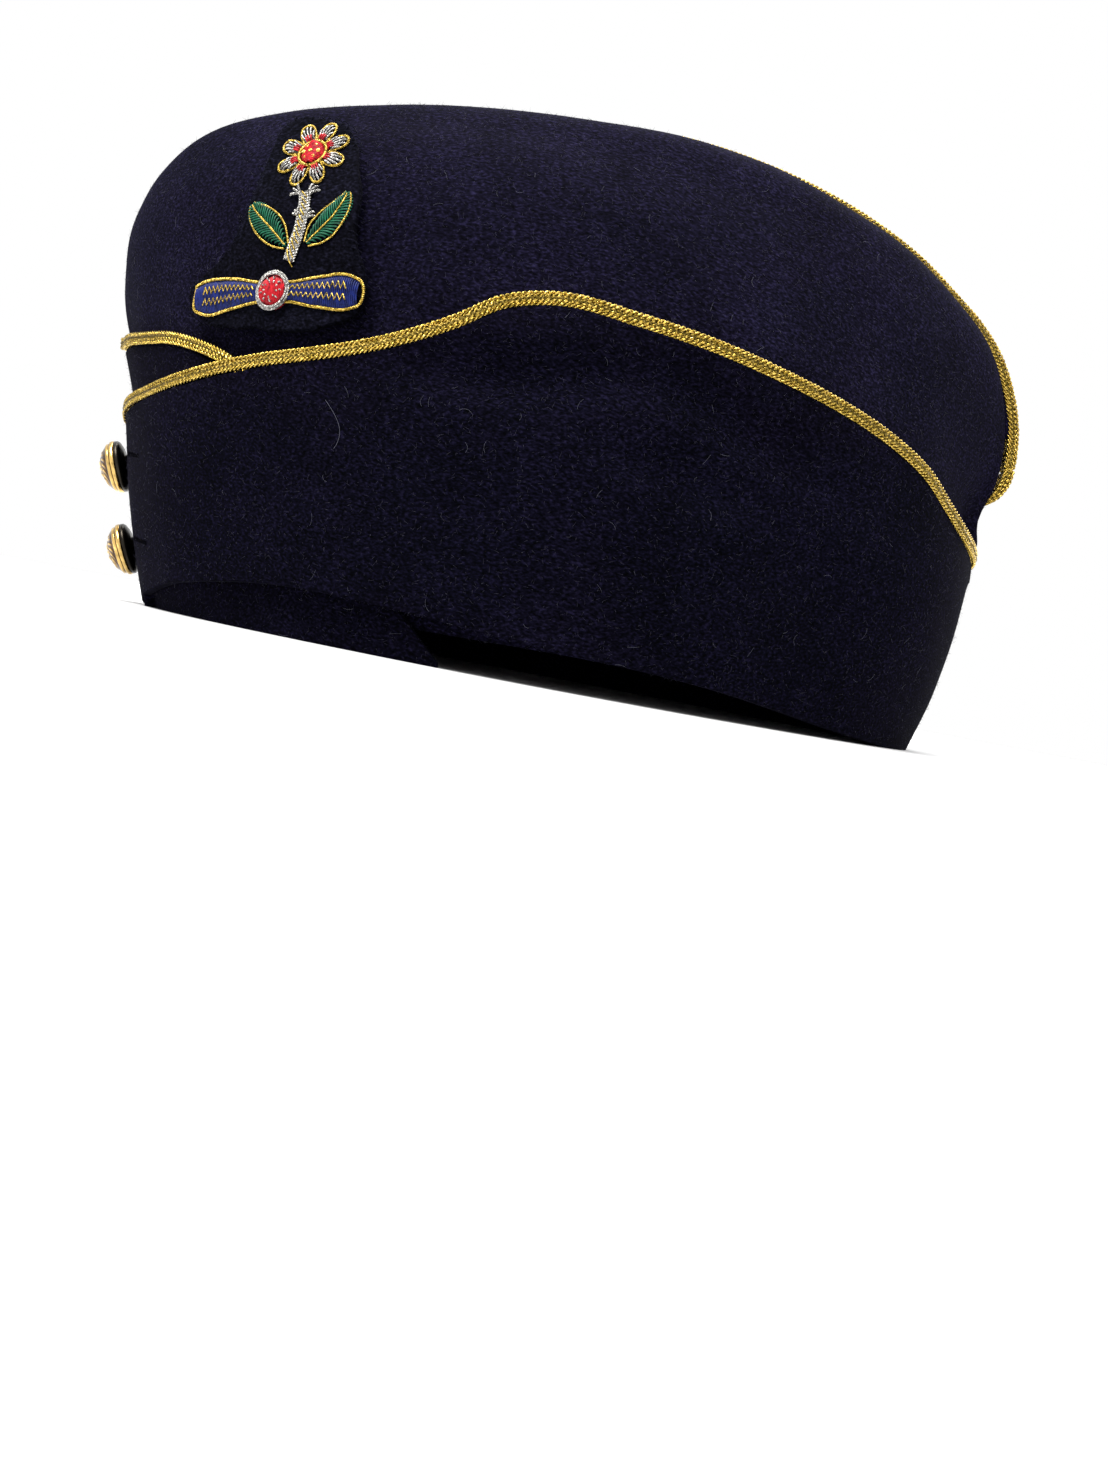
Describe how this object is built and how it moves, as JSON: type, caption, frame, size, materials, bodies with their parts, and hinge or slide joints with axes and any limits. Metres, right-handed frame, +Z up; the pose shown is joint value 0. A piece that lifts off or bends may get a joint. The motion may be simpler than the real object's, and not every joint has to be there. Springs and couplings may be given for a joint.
{
  "type": "side cap",
  "caption": "Soft wool side cap with a dipping top, turned-up side flaps, gold braid piping, gilt front buttons and an embroidered patch; open below for a head.",
  "frame": {"origin": "middle of the cap's box, on the surface that its rim rests on", "axes": "+X towards the back of the cap, the buttons face -X; -Y is the wearer's left, where the patch is; +Z up"},
  "size_m": [0.2634, 0.1498, 0.1475],
  "materials": {
    "wool": "napped very dark navy wool",
    "felt": "very dark navy felt",
    "gold_braid": "twisted gold metal thread with a soft shine",
    "gilt_brass": "polished gilt",
    "gold_thread": "gold bullion thread",
    "silver_thread": "silver bullion thread",
    "red_thread": "red silk thread",
    "green_thread": "green silk thread",
    "blue_thread": "royal blue silk thread"
  },
  "bodies": {
    "root": {"crown_left": "wool", "crown_right": "wool", "crown_top": "wool", "flap_left": "wool", "flap_right": "wool", "crown_piping_left": "gold_braid", "crown_piping_right": "gold_braid", "flap_piping_left": "gold_braid", "flap_piping_right": "gold_braid", "button_upper": "gilt_brass", "button_lower": "gilt_brass", "badge_patch": "felt", "badge_petals": "silver_thread", "badge_flower_centre": "red_thread", "badge_stem": "gold_thread", "badge_leaf_front": "green_thread", "badge_leaf_back": "green_thread", "badge_ribbon": "blue_thread"}
  },
  "joints": []
}
